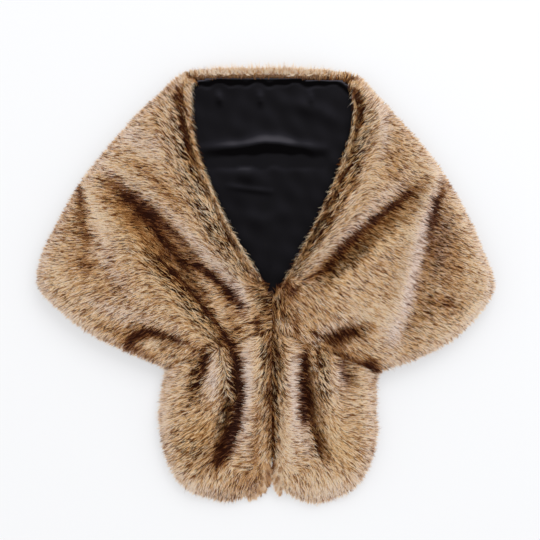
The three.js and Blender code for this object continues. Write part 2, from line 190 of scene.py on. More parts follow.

# Painted shade and painted highlights on the pile, beyond what its slope alone paints: darker, below zero,
# along folds and creases and on the shaded sides of crests, and paler along their lit lips, with some
# patches of the pile's own tone.
TONES_AND_PAINTED_LIGHT = {
    "left_front": [
        (-0.6, 4, (-121, 277), (-118, 262), (-117, 248), (-114, 225), (-108, 200), (-98, 172)),
        (-0.3, 3, (-98, 172), (-82, 136), (-64, 98), (-46, 62), (-24, 24), (-8, 2)),
        (-0.3, 8, (-127, 270), (-120, 256)),
        (-0.15, 5, (-28, 16), (-12, -12)),
        (0.2, 6, (-104, 282), (-106, 262)),
        (0.26, 6, (-88, 164), (-60, 108), (-36, 62), (-12, 16)),
        (0.14, 9, (-132, 262), (-128, 222), (-120, 190), (-108, 160)),
        (0.2, 9, (-108, 160), (-90, 128), (-66, 84)),
        (-0.36, 7, (-216, 149), (-197, 132), (-176, 110), (-155, 86), (-141, 65), (-123, 40), (-106, 22)),
        (-0.26, 13, (-221, 138), (-190, 100), (-162, 65), (-141, 34), (-123, 2)),
        (-0.7, 2.5, (-127, 23), (-106, -1), (-85, -29), (-64, -54), (-57, -68)),
        (-0.2, 7, (-114, 14), (-95, -8), (-80, -33), (-62, -60)),
        (-0.12, 8, (-132, 30), (-120, 2), (-106, -20)),
        (-0.6, 3, (-99, 33), (-75, 16), (-54, -5), (-36, -26), (-33, -40)),
        (-0.3, 7, (-103, 34), (-81, 20), (-61, 6), (-45, -9), (-33, -27)),
        (-0.5, 1.5, (-92, -92), (-57, -68), (-29, -50), (6, -48)),
        (0.16, 6, (-92, 44), (-57, 28)),
        (-0.3, 8, (-180, 128), (-145, 93), (-110, 57), (-88, 34)),
        (-0.18, 8, (-188, 177), (-160, 158), (-137, 132), (-113, 100)),
        (-0.2, 6, (-118, 195), (-108, 172), (-94, 140)),
        (-0.28, 7, (-260, 137), (-255, 107), (-251, 79), (-246, 51)),
        (-0.3, 5, (-258, 142), (-253, 118)),
        (-0.1, 12, (-276, 100), (-272, 70)),
        (-0.24, 11, (-260, 36), (-238, 24)),
        (0.08, 16, (-240, 150), (-222, 90), (-205, 50)),
        (-0.14, 10, (-230, 2), (-200, -8)),
        (-0.14, 8, (-243, -50), (-215, -58), (-193, -66)),
        (0.14, 8, (-236, -26), (-190, -36)),
        (-0.25, 6, (-50, -36), (-40, -66)),
        (-0.35, 5, (-12, -38), (-8, -70)),
        (-0.5, 7, (-190, -84), (-184, -70), (-170, -63), (-158, -62)),
        (-0.36, 5, (-158, -60), (-134, -68), (-106, -79), (-88, -90)),
        (0.3, 5, (-162, -84), (-150, -72)),
        (-0.3, 8, (-198, -74), (-176, -86), (-150, -99)),
        (0.2, 6, (-235, 177), (-204, 163), (-176, 142), (-151, 114)),
        (0.14, 8, (-134, 107), (-106, 72), (-71, 34), (-40, 2)),
        (0.22, 7, (-252, 160), (-243, 128), (-232, 96), (-215, 58)),
        (0.16, 14, (-194, 204), (-162, 186), (-142, 172)),
        (0.12, 9, (-156, 14), (-127, -22), (-92, -50)),
        (0.12, 12, (-306, 42), (-290, 16), (-262, -10)),
        (0.2, 9, (-318, 6), (-296, -26), (-262, -48), (-230, -66)),
        (-0.12, 10, (-2, 2), (2, -44)),
        (-0.35, 8, (-64, -62), (-46, -84)),
    ],
    "right_front": [
        (0.07, 400, (150, 100), (160, 100)),
        (-0.8, 4, (123, 276), (128, 258), (131, 243), (129, 227), (124, 212)),
        (-0.34, 3, (124, 212), (117, 181), (113, 166), (105, 155), (95, 125), (84, 106), (62, 64), (37, 23)),
        (0.24, 6, (118, 250), (117, 222), (106, 186), (86, 138), (58, 84), (28, 30)),
        (-0.26, 6, (128, 172), (117, 136), (99, 100), (75, 66), (55, 38)),
        (0.16, 8, (152, 270), (163, 220), (158, 180)),
        (0.12, 6, (150, 160), (124, 122), (94, 86), (66, 50), (50, 32)),
        (-0.42, 7, (224, 148), (195, 127), (160, 102), (120, 68), (84, 28)),
        (-0.26, 4, (84, 28), (69, 16), (55, 9), (27, -12)),
        (0.22, 6, (62, 36), (90, 54)),
        (-0.08, 14, (188, 114), (132, 58), (83, 23)),
        (-0.42, 7, (247, 146), (238, 121), (231, 96), (226, 72)),
        (-0.14, 7, (226, 72), (223, 40), (216, 13), (206, -12)),
        (-0.14, 14, (258, 76), (262, 4)),
        (-0.14, 16, (242, 100), (232, 20)),
        (0.22, 10, (237, 160), (218, 121), (208, 86), (199, 51), (191, 16), (184, -19), (174, -54)),
        (0.14, 16, (190, 40), (176, -40), (168, -86)),
        (-0.24, 12, (224, -20), (264, -26)),
        (0.28, 10, (292, -5), (286, -44)),
        (-0.14, 8, (208, -20), (199, -50), (191, -84)),
        (-0.12, 10, (177, 226), (174, 170), (191, 146)),
        (0.16, 10, (216, 184), (240, 150)),
        (-0.3, 7, (88, -70), (102, -65), (116, -63), (128, -61)),
        (-0.26, 8, (84, -78), (100, -76), (114, -74)),
        (-0.3, 6, (78, -84), (88, -98)),
        (-0.3, 5, (140, -98), (156, -108)),
        (-0.14, 9, (104, -54), (132, -60)),
        (-0.36, 9, (98, -88), (122, -104)),
        (-0.35, 6, (39, -36), (46, -68)),
        (-0.4, 5, (62, -56), (69, -69)),
        (-0.5, 8, (130, -106), (157, -118)),
        (-0.34, 13, (20, 6), (48, -16)),
        (-0.2, 10, (14, -14), (30, -40)),
        (-0.32, 7, (6, -34), (9, -70)),
        (-0.45, 10, (32, -70), (46, -104)),
        (-0.6, 3, (66, -62), (68, -66)),
        (-0.5, 1.5, (57, -85), (72, -78), (84, -62)),
        (0.1, 14, (265, 121), (293, 65), (307, 16), (300, -19)),
        (0.18, 22, (130, -30), (176, -60)),
        (0.12, 12, (230, -82), (265, -61), (300, -33)),
    ],
    "left_tail": [
        (-0.5, 1.5, (-92, -92), (-57, -68), (-29, -50), (6, -48)),
        (-0.55, 6, (-47, -68), (-41, -100), (-37, -131), (-34, -162), (-38, -187), (-48, -215), (-66, -246)),
        (-0.34, 9, (-42, -180), (-52, -210), (-66, -240), (-74, -252)),
        (-0.46, 5, (-84, -86), (-84, -104), (-86, -124)),
        (-0.08, 7, (-97, -98), (-102, -160)),
        (-0.36, 3, (-74, -75), (-86, -98)),
        (0.12, 7, (-70, -89), (-73, -159)),
        (0.14, 8, (-23, -70), (-20, -131), (-22, -187), (-28, -240)),
        (-0.14, 4, (7, -72), (8, -120), (6, -160)),
        (-0.25, 2.5, (6, -160), (5, -220), (2, -284)),
        (-0.2, 8, (-16, -160), (-14, -200), (-12, -262)),
        (0.14, 10, (6, -180), (2, -256)),
        (0.32, 7, (-13, -68), (-9, -130)),
        (-0.4, 6, (-52, -74), (-46, -92)),
        (-0.35, 6, (-44, -210), (-56, -240)),
        (-0.1, 12, (-78, -173), (-86, -229)),
        (-0.18, 14, (-46, -278), (-4, -268)),
        (0.1, 14, (-137, -117), (-141, -187)),
        (0.2, 9, (-134, -246), (-110, -276), (-84, -292)),
    ],
    "right_tail": [
        (0.06, 400, (80, -180), (90, -180)),
        (-0.55, 6, (55, -78), (53, -110), (52, -140), (51, -172), (52, -200)),
        (-0.2, 7, (62, -120), (64, -180), (68, -222), (76, -250)),
        (-0.1, 7, (72, -200), (82, -246)),
        (0.5, 2, (58, -194), (66, -222), (76, -250)),
        (0.1, 7, (58, -190), (68, -224)),
        (0.2, 8, (18, -170), (20, -250)),
        (-0.12, 8, (22, -72), (24, -130)),
        (0.26, 10, (24, -160), (28, -200), (32, -262)),
        (0.1, 8, (38, -82), (38, -159), (37, -229)),
        (-0.4, 3, (72, -82), (72, -112)),
        (-0.34, 6, (103, -98), (112, -135)),
        (0.14, 8, (90, -112), (93, -159)),
        (-0.4, 4, (11, -178), (11, -206)),
        (-0.25, 2.5, (9, -210), (8, -284)),
        (0.12, 24, (50, -284), (110, -276)),
        (0.1, 14, (130, -130), (140, -200)),
    ],
    "back": [(0.5, 40, (-110, 300), (112, 300)), (-0.25, 16, (96, 296), (124, 290))],
}

# Painted sheen: where more of the pile, or below zero less of it, takes the cool colours that stand for the
# shine of its fibres.
PAINTED_SHEEN = {
    "back": [(0.4, 40, (-110, 300), (80, 300))],
    "left_front": [
        (-0.5, 8, (-98, 240), (-94, 200), (-78, 156), (-50, 100), (-14, 36)),
        (0.4, 7, (-239, 170), (-207, 153), (-183, 131), (-148, 100)),
        (0.4, 9, (-134, 107), (-106, 72), (-71, 34), (-36, -5), (-25, -26)),
        (0.4, 18, (-197, 212), (-141, 191)),
        (0.4, 12, (-225, 72), (-215, 30), (-190, -10)),
        (0.4, 12, (-246, -19), (-197, -36), (-162, -44)),
        (-0.4, 16, (-204, 108), (-162, 52), (-120, -20), (-80, -60)),
    ],
    "right_front": [
        (-0.5, 8, (118, 250), (119, 222), (108, 186), (88, 138), (60, 84), (30, 30)),
        (0.5, 7, (160, 248), (165, 205), (160, 180)),
        (0.6, 10, (241, 146), (227, 114), (216, 79), (207, 44), (199, 9), (191, -33), (177, -68)),
        (0.5, 14, (177, -50), (171, -89)),
        (0.4, 9, (190, 150), (156, 118), (122, 84), (88, 50)),
        (0.3, 12, (250, 110), (240, 20)),
        (-0.4, 20, (190, 100), (132, 50), (90, 10)),
    ],
    "left_tail": [
        (0.3, 10, (-23, -80), (-24, -150), (-22, -240)),
        (0.4, 7, (-70, -89), (-73, -159)),
        (-0.3, 20, (-80, -180), (-110, -230)),
    ],
    "right_tail": [
        (0.3, 10, (37, -80), (37, -159), (37, -240)),
        (0.3, 8, (104, -106), (108, -140)),
        (-0.3, 20, (90, -180), (110, -240)),
    ],
}


def path_distance(places, points):
    """How far each place is from a path, and how far along it lies, from 0 to 1."""
    points = np.array(points) * MM
    steps = np.diff(points, axis=0)
    lengths = np.linalg.norm(steps, axis=1)
    before = np.concatenate([[0], np.cumsum(lengths)])
    best, along = np.full(len(places), np.inf), np.zeros(len(places))
    for start, step, length, past in zip(points, steps, lengths, before):
        share = np.clip((places - start) @ step / length ** 2, 0, 1)
        away = np.linalg.norm(places - start - share[:, None] * step, axis=1)
        near = away < best
        best[near], along[near] = away[near], past + share[near] * length
    return best, along / before[-1]


def table_at(table, places):
    """The sum of a table's rows at these places. A row weakens over the last quarters of its path."""
    at_ends = 0.45
    total = np.zeros(len(places))
    for amount, reach, *points in table:
        away, along = path_distance(places, points)
        fade = at_ends + (1 - at_ends) * np.clip(4 * np.minimum(along, 1 - along), 0, 1)
        total += amount * fade * np.exp(-((away / (reach * MM)) ** 2))
    return total


def nap_at(name, places):
    """Unit vectors of the way the pile lies at these places."""
    common_reach, far_weight = 40, 1e-4
    total = np.zeros((len(places), 2))
    for heading, reach, *points in NAP[name]:
        # A row with a short reach is strong where it is felt.
        away = path_distance(places, points)[0] / (reach * MM)
        weight = (common_reach / reach) ** 2 * np.exp(-away ** 2) + far_weight / (1 + away ** 2)
        total += weight[:, None] * (math.cos(math.radians(heading)), math.sin(math.radians(heading)))
    return unit(total)


def unit(vectors):
    return vectors / np.maximum(np.linalg.norm(vectors, axis=1, keepdims=True), 1e-12)


# ---- Relief: the heights of a solid's faces, on one grid of cells for the whole capelet ----

CELL = 2 * MM
MARGIN = 16 * MM  # cells past the outline, where the tips of hairs reach
FARTHEST_IN = 24 * MM  # the distance in from an outline is counted up to here
GRID_X = np.arange(CAD_BOX[0].x - MARGIN, CAD_BOX[1].x + MARGIN, CELL)
GRID_Y = np.arange(CAD_BOX[0].y - MARGIN, CAD_BOX[1].y + MARGIN, CELL)
GRID = np.stack(np.meshgrid(GRID_X, GRID_Y), -1)
SHAPE = GRID.shape[:2]


def smoothed(values, weights, radius):
    """A Gaussian mean of the values, each counted by its weight."""
    sigma = radius / CELL
    reach = math.ceil(2.5 * sigma)
    kernel = np.exp(-0.5 * (np.arange(-reach, reach + 1) / sigma) ** 2)
    total, count = values * weights, weights.astype(float)
    for axis in (0, 1):
        total = np.apply_along_axis(np.convolve, axis, total, kernel, "same")
        count = np.apply_along_axis(np.convolve, axis, count, kernel, "same")
    return total / np.maximum(count, 1e-9)


def gradient(values):
    return np.stack(np.gradient(values, CELL)[::-1], -1)


def at(values, places):
    """A grid's values between its cells, at these places."""
    spot = (places[:, :2] - GRID[0, 0]) / CELL
    spot = np.clip(spot, 0, np.array(SHAPE[::-1]) - 1.001)
    column, row = np.floor(spot).astype(int).T
    right, up = (spot % 1).T
    if values.ndim == 3:
        right, up = right[:, None], up[:, None]
    lower = values[row, column] * (1 - right) + values[row, column + 1] * right
    upper = values[row + 1, column] * (1 - right) + values[row + 1, column + 1] * right
    return lower * (1 - up) + upper * up


def distance_in(inside):
    """How far each cell lies in from an outline."""
    distance, left = np.zeros(SHAPE), inside.copy()
    for turn in range(round(FARTHEST_IN / CELL)):
        distance += left * CELL
        edge = np.pad(left, 1)
        left = left & edge[2:, 1:-1] & edge[:-2, 1:-1] & edge[1:-1, 2:] & edge[1:-1, :-2]
        if turn % 2:
            left &= edge[2:, 2:] & edge[:-2, 2:] & edge[2:, :-2] & edge[:-2, :-2]
    return smoothed(distance, np.ones(SHAPE), 3 * MM)


class Solid:
    """The heights of a node's upper and lower faces, with its small folds added to the upper one."""

    def __init__(self, name):
        low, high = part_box(name)
        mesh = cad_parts[name].data
        tree = BVHTree.FromPolygons([v.co for v in mesh.vertices], [p.vertices for p in mesh.polygons])
        self.name = name
        self.upper = self.cast(tree, low, high, -1)
        self.lower = self.cast(tree, low, high, 1)
        self.inside = ~np.isnan(self.upper)
        self.upper = smoothed(np.nan_to_num(self.upper), self.inside, 3 * MM)
        self.lower = smoothed(np.nan_to_num(self.lower), self.inside, 3 * MM)
        folds = table_at(FOLDS.get(name, []), GRID.reshape(-1, 2)) * MM
        self.upper += folds.reshape(SHAPE)

    def cast(self, tree, low, high, way):
        """The height of the first face met along +Z or -Z at each cell, or nan."""
        heights = np.full(SHAPE, math.nan)
        start = high.z + 0.01 if way < 0 else low.z - 0.01
        rows = np.flatnonzero((GRID_Y > low.y) & (GRID_Y < high.y))
        columns = np.flatnonzero((GRID_X > low.x) & (GRID_X < high.x))
        for row in rows:
            for column in columns:
                spot = tree.ray_cast((GRID_X[column], GRID_Y[row], start), (0, 0, way))[0]
                if spot is not None:
                    heights[row, column] = spot.z
        return heights


class Face:
    """What a pile grows on: a solid's upper face or, with side -1, its lower face turned over. The
    shore is how far in from the edge of the fur a cell lies, and the outline how far in from the whole
    capelet's edge, so the edge of the neck opening is where only the shore is short."""

    def __init__(self, solid, side, shore, outline):
        self.name, self.inside, self.side, self.shore = solid.name, solid.inside, side, shore
        self.height = solid.upper if side > 0 else -solid.lower
        self.depth = np.maximum(solid.upper - solid.lower, 0)
        self.slope = gradient(smoothed(self.height, self.inside, 4 * MM))
        self.hollow = smoothed(self.height, self.inside, 15 * MM) - self.height
        self.outward = -gradient(shore)
        self.at_neck = np.clip(1 - shore / RIM, 0, 1) * (outline > shore + 2 * CELL)


# ---- Hair ----
# Every hair is a narrow triangle, from its root down in the pile to its tip, with its flat side
# outwards. Hairs gather into locks, whose tips draw together.

# The pile is combed smooth over the flat of a panel, where its locks are fine, and stands in coarse
# ones where the cloth bends sharply over a crest.
FINE_LOCK = dict(across=1.5 * MM, along=6.5 * MM)
COARSE_LOCK = dict(across=1.5 * MM, along=8 * MM)
# How much darker or paler than the rest a lock is, for its share of all the locks.
FINE_MIX = ((0.0, 0.12, 0.36, 0.66, 0.9, 1.0), (-0.58, -0.44, -0.1, 0.1, 0.28, 0.4))
# The darkest coarse locks are dark hairs that also stand for the painted shade of the gaps between tufts.
COARSE_MIX = ((0.0, 0.3, 0.44, 0.6, 0.86, 1.0), (-1.0, -0.8, -0.2, 0.1, 0.24, 0.34))


def hair_kind(length, width, sink, lift, clump, turn, mixed, before=0.58, fall=0):
    """A kind of hair, with its lengths in mm. Its root is sink under the face and its tip lift over it.
    clump is how much of the way the tip draws to the middle of its lock, turn the spread of the locks'
    headings, in degrees, and mixed how much the locks differ in shade. before is the share of the hair
    that lies behind its place, towards its root, and fall the share of the cloth's depth that it grows
    from."""
    return dict(
        length=length * MM, width=width * MM, sink=sink * MM, lift=lift * MM,
        clump=clump, turn=turn, mixed=mixed, before=before, fall=fall,
    )


UNDERFUR = hair_kind(length=7, width=0.95, sink=3.4, lift=0.2, clump=0.55, turn=9, mixed=0.9)
GUARD_HAIR = hair_kind(length=7.6, width=0.8, sink=3.2, lift=0.9, clump=0.75, turn=12, mixed=1.0)
# Stray hairs that reach past the outline.
WISP = hair_kind(length=18, width=0.6, sink=4, lift=1.0, clump=0.3, turn=16, mixed=0.8)
# On the sides of the cloth, from its face down.
RIM_HAIR = hair_kind(
    length=11, width=1.1, sink=1, lift=-2.5, clump=0.5, turn=14, mixed=0.8, before=0.4, fall=1,
)
# Between the tails, where the pile spreads to close the gap.
SPREAD = hair_kind(length=13, width=0.8, sink=3, lift=0.5, clump=0.2, turn=7, mixed=0.7, before=0.3)
# On the strip behind the lining.
STRIP_HAIR = hair_kind(length=8, width=0.8, sink=3, lift=1.5, clump=0.7, turn=22, mixed=1.1, before=0.05)
STRIP_WISP = hair_kind(length=14, width=0.5, sink=3, lift=1.5, clump=0.3, turn=22, mixed=1.1, before=0.05)
# Under the back, where the floor presses it flat.
PRESSED = hair_kind(length=12, width=1.8, sink=1.5, lift=-0.8, clump=0.4, turn=14, mixed=0.5)

# How much a coarse lock adds to its hairs' length, turn, clump and lift.
COARSE_LENGTH, COARSE_TURN, COARSE_CLUMP, COARSE_LIFT = 0.4, 0.6, 0.35, 0.8
MOST_CLUMP = 0.92
# The dark coarse locks, partly dark hairs and partly painted shade for the gaps between tufts, stand proud
# so that they show.
DARK_LOCKS = 0.24  # the share of coarse locks that are dark and stand proud of the rest
DARK_LIFT = 1.2 * MM
HAIR_TURN, HAIR_ROLL = 5, 22  # the spread of single hairs, in degrees
DEEPEST_SINK = 0.7  # of the cloth's depth
LEAST_DEPTH = 1.5 * MM
LEAST_HEIGHT = 0.3 * MM  # over the floor
RIM = 12 * MM  # how far in from the edge of the fur its hairs turn outwards
RIM_PULL = 1.3  # how strongly they turn
NECK_PULL = -0.9  # and how much less at the edge of the neck opening
NECK_TRIM = 0.4  # the share of their length that hairs lose there

# A hair's shade runs from 0, dark, to 1, pale.
BASE_SHADE = 0.75
PATCH_SHADE = 0.05  # for patches of 20 mm and of 60 mm
# Painted sheen where the pile lies down a slope, and painted shade where it lies up one, which also stands
# for its dark roots showing.
SHEEN_SHADE, AGAINST_SHADE = 0.06, 0.18  # where the pile lies down a slope, and up one
# Painted light on crests and painted shade in hollows.
CREST_SHADE, HOLLOW_SHADE = 0.06, 0.28
# The amounts in TONES_AND_PAINTED_LIGHT are mostly painted shade and painted highlights.
TONE_GAIN = 1.35  # for the amounts in TONES_AND_PAINTED_LIGHT
HAIR_NOISE = 0.11
# Painted shade between coarse locks, on the underfur under them.
PARTED_PAINTED_SHADE = 0.28  # how much darker the underfur looks where coarse locks part over it
LEAST_SHADE, PALE_LEAST = 0.06, 0.33  # for any hair, and how much more in the palest lock
RAGGED = 1.3 * MM  # how far a lock's spot in TONES_AND_PAINTED_LIGHT and PAINTED_SHEEN strays
# Painted sheen: the share of hairs that take its cool colours, more of them down slopes and fewer in coarse
# locks.
PAINTED_SHEEN_SHARE, SLOPE_PAINTED_SHEEN, COARSE_PAINTED_SHEEN = 0.2, 0.4, -0.7  # of the hairs that take the cool colours


def locks_of(places, flat, lock, rng):
    """Each place's lock: the vector to its centre, its number, and how many locks there are."""
    cell_size = math.sqrt(lock["across"] * lock["along"])
    longer = lock["along"] / lock["across"]
    low = places.min(0) - 4 * cell_size
    cells = np.floor((places - low) / cell_size).astype(int)
    across = cells[:, 0].max() + 5
    count = across * (cells[:, 1].max() + 5)
    middles = rng.uniform(0, 1, (count, 2))
    best = np.full(len(places), np.inf)
    offset, number = np.zeros(places.shape), np.zeros(len(places), int)
    for right in (-2, -1, 0, 1, 2):
        for up in (-2, -1, 0, 1, 2):
            cell = cells + (right, up)
            code = cell[:, 1] * across + cell[:, 0]
            away = low + (cell + middles[code]) * cell_size - places
            along = (away * flat).sum(1)
            distance = (along / longer) ** 2 + (away ** 2).sum(1) - along ** 2
            near = distance < best
            best[near], offset[near], number[near] = distance[near], away[near], code[near]
    return offset, number, count


def scattered(face, count, wanted, rng):
    """About count places, spread evenly over the part of a face that is wanted."""
    least_inside, jitter = 0.45, 0.55
    stretch = np.sqrt(1 + (face.slope ** 2).sum(-1))
    cells = face.inside & wanted
    spacing = math.sqrt((stretch * cells).sum() * CELL ** 2 / count)
    grid = np.stack(np.meshgrid(
        np.arange(GRID_X[0], GRID_X[-1], spacing),
        np.arange(GRID_Y[0], GRID_Y[-1], spacing),
    ), -1).reshape(-1, 2)
    grid = grid[at(cells.astype(float), grid) > least_inside]
    often = np.floor(at(stretch, grid) + rng.random(len(grid))).astype(int)
    places = np.repeat(grid, often, 0)
    return places + rng.uniform(-jitter, jitter, places.shape) * spacing


def turned(flat, angle):
    cos, sin = np.cos(angle), np.sin(angle)
    return np.stack([flat[:, 0] * cos - flat[:, 1] * sin, flat[:, 0] * sin + flat[:, 1] * cos], 1)


def mottle(places, size, rng):
    """Soft patches of about this size, from -1 to 1."""
    total = np.zeros(len(places))
    for _ in range(7):
        way = rng.uniform(0, 2 * math.pi)
        wave = places @ (math.cos(way), math.sin(way)) * 2 * math.pi / (size * rng.uniform(0.7, 1.6))
        total += np.sin(wave + rng.uniform(0, 2 * math.pi))
    return total / 3.5


def shades(face, places, spots, flat, lock_kind, coarse, kind, rng):
    """Each hair's shade, with painted shade and painted highlights from its slope, its hollows and the
    tables, and whether it takes the cool colours of the painted sheen. The tables are read at the spots,
    which a whole lock shares, so that their edges are ragged."""
    inner = np.clip((at(face.shore, places) - 4 * MM) / (9 * MM), 0, 1)
    along = (at(face.slope, places) * flat).sum(1)
    hollow = at(face.hollow, places) * inner
    # Painted sheen down slopes, painted shade up them that also stands for dark roots showing, painted shade
    # in hollows and painted light on crests; all but the sheen fade near the edge of the fur.
    sheen = np.clip(-1.4 * along, 0, 1)
    against = np.clip(1.1 * along, 0, 1) * inner
    deep = np.clip(hollow / (9 * MM), 0, 1)
    crest = np.clip(-hollow / (5 * MM), 0, 1)
    shade = BASE_SHADE + PATCH_SHADE * mottle(places, 60 * MM, rng)
    shade += PATCH_SHADE * mottle(places, 20 * MM, rng)
    shade += SHEEN_SHADE * sheen - AGAINST_SHADE * against - HOLLOW_SHADE * deep + CREST_SHADE * crest
    # Painted shade along folds and creases and painted highlights on their lips, with some patches of the
    # pile's own tone.
    tones = table_at(TONES_AND_PAINTED_LIGHT.get(face.name, []), spots)
    shade += TONE_GAIN * np.where(tones < 0, tones * (0.5 + lock_kind), tones)
    fine = np.interp(lock_kind, *FINE_MIX)
    rough = np.interp(lock_kind, *COARSE_MIX)
    mix = kind["mixed"] * (fine * (1 - coarse) + rough * coarse)
    shade += mix + rng.normal(0, HAIR_NOISE, len(places))
    # Painted shade between the coarse locks.
    if kind is UNDERFUR:
        shade -= PARTED_PAINTED_SHADE * coarse
    # Painted sheen: which hairs take the cool colours.
    gloss = PAINTED_SHEEN_SHARE + SLOPE_PAINTED_SHEEN * sheen + table_at(PAINTED_SHEEN.get(face.name, []), spots)
    cool = rng.random(len(places)) < gloss * (1 + COARSE_PAINTED_SHEEN * coarse)
    least = LEAST_SHADE + PALE_LEAST * lock_kind ** 5 + rng.uniform(0, LEAST_SHADE, len(places))
    return np.clip(np.maximum(shade, least), 0.02, 0.98), cool


def grow(face, count, kind, wanted, rng):
    """The roots, tips, half widths and colours of about count hairs on a face."""
    places = scattered(face, count, wanted, rng)
    total = len(places)
    at_neck = at(face.at_neck, places)
    outwards = RIM_PULL * np.clip(1 - at(face.shore, places) / RIM, 0, 1) + NECK_PULL * at_neck
    flat = nap_at(face.name, places)
    flat = unit(flat + unit(at(face.outward, places)) * outwards[:, None])
    coarse = np.clip(table_at(COARSE.get(face.name, []), places), 0, 1)
    fine_lock = locks_of(places, flat, FINE_LOCK, rng)
    coarse_lock = locks_of(places, flat, COARSE_LOCK, rng)
    is_coarse = coarse > rng.uniform(0.3, 0.6, total)
    to_centre = np.where(is_coarse[:, None], coarse_lock[0], fine_lock[0])
    lock = np.where(is_coarse, coarse_lock[1] + fine_lock[2], fine_lock[1])
    lock_count = fine_lock[2] + coarse_lock[2]

    turn = rng.normal(0, math.radians(kind["turn"]), lock_count)[lock] * (1 + COARSE_TURN * coarse)
    flat = turned(flat, turn + rng.normal(0, math.radians(HAIR_TURN), total))
    slope = at(face.slope, places)
    tangent = unit(np.column_stack([flat, (slope * flat).sum(1)]))
    normal = unit(np.column_stack([-slope, np.ones(total)]))
    across = np.cross(tangent, normal)

    length = kind["length"] * rng.uniform(0.75, 1.15, lock_count)[lock] * rng.uniform(0.8, 1.2, total)
    length = length * (1 + COARSE_LENGTH * coarse) * (1 - NECK_TRIM * at_neck)
    depth = at(face.depth, places)
    sink = np.minimum(kind["sink"], DEEPEST_SINK * np.maximum(depth, LEAST_DEPTH))
    height = at(face.height, places)
    if kind["fall"]:
        height = height - kind["fall"] * rng.uniform(0, 1, total) * depth
    surface = np.column_stack([places, height])
    clump = np.clip(kind["clump"] + COARSE_CLUMP * coarse, 0, MOST_CLUMP)
    draw = (to_centre * across[:, :2]).sum(1) * clump
    lock_kind = rng.random(lock_count)[lock]
    lift = kind["lift"] * rng.uniform(-0.3, 1.3, total) * (1 + COARSE_LIFT * coarse)
    lift += DARK_LIFT * coarse * (lock_kind < DARK_LOCKS)

    root = surface - tangent * (kind["before"] * length)[:, None] - normal * sink[:, None]
    tip = surface + tangent * ((1 - kind["before"]) * length)[:, None]
    tip += across * draw[:, None] + normal * lift[:, None]

    roll = rng.normal(0, math.radians(HAIR_ROLL), total)[:, None]
    half = (across * np.cos(roll) + normal * np.sin(roll)) * kind["width"] / 2
    half *= rng.uniform(0.75, 1.25, (total, 1))
    spots = places + to_centre + rng.normal(0, RAGGED, (lock_count, 2))[lock]
    shade, cool = shades(face, places, spots, flat, lock_kind, coarse, kind, rng)
    for points in (root, tip, half):
        points[:, 2] *= face.side
    for points in (root, tip):
        points[:, 2] = np.maximum(points[:, 2], LEAST_HEIGHT)
    return dict(root=root, tip=tip, half=half, shade=shade, cool=cool)


def joined(groups):
    return {key: np.concatenate([group[key] for group in groups]) for key in groups[0]}


# A hair on the UV map: half its width, how far it stays in from the edge, and its length.
UV_HALF, UV_EDGE, UV_LENGTH = 0.0009, 0.02, 0.46


def hair_mesh(name, hair, material):
    """One mesh of all the hairs. On its UV map u is the shade, and v runs from root to tip, in the
    lower half for warm colours and the upper half for cool ones."""
    count = len(hair["root"])
    corners = np.stack([hair["root"] - hair["half"], hair["root"] + hair["half"], hair["tip"]], 1)
    mesh = bpy.data.meshes.new(name)
    mesh.vertices.add(count * 3)
    mesh.vertices.foreach_set("co", corners.astype(np.float32).ravel())
    mesh.loops.add(count * 3)
    mesh.loops.foreach_set("vertex_index", np.arange(count * 3, dtype=np.int32))
    mesh.polygons.add(count)
    mesh.polygons.foreach_set("loop_start", np.arange(0, count * 3, 3, dtype=np.int32))
    mesh.update(calc_edges=True)

    u = hair["shade"][:, None] + np.array([-1, 1, 0]) * UV_HALF
    v = np.array([0, 0, 1]) * UV_LENGTH + UV_EDGE + 0.5 * hair["cool"][:, None]
    layer = mesh.uv_layers.new(name="OFBake")
    layer.uv.foreach_set("vector", np.stack([u, v], -1).astype(np.float32).ravel())
    mesh.materials.append(material)
    return linked(name, mesh)


def linked(name, mesh):
    piece = bpy.data.objects.new(name, mesh)
    bpy.context.scene.collection.objects.link(piece)
    return piece


# ---- Materials ----

def linear(colour):
    """An sRGB hex colour as linear red, green, blue and alpha."""
    parts = [int(colour[i:i + 2], 16) / 255 for i in (1, 3, 5)]
    return [c / 12.92 if c <= 0.04045 else ((c + 0.055) / 1.055) ** 2.4 for c in parts] + [1.0]


def add_node(material, kind, stops=None, inputs=None, **settings):
    """Adds a node with its settings. inputs maps a socket's name or number to a value or to the
    socket that feeds it, and stops are a colour ramp's places and colours. A Mix node's colours go in
    at 6 and 7 and come out at 2."""
    tree = material.node_tree
    node = tree.nodes.new(kind)
    for key, value in settings.items():
        setattr(node, key, value)
    for key, value in (inputs or {}).items():
        if isinstance(value, bpy.types.NodeSocket):
            tree.links.new(value, node.inputs[key])
        else:
            node.inputs[key].default_value = value
    if stops:
        elements = node.color_ramp.elements
        while len(elements) < len(stops):
            elements.new(0.5)
        for element, (place, colour) in zip(elements, stops):
            element.position, element.color = place, linear(colour)
    return node


def new_material(name):
    material = bpy.data.materials.new(name)
    material.use_nodes = True
    return material, material.node_tree.nodes["Principled BSDF"]


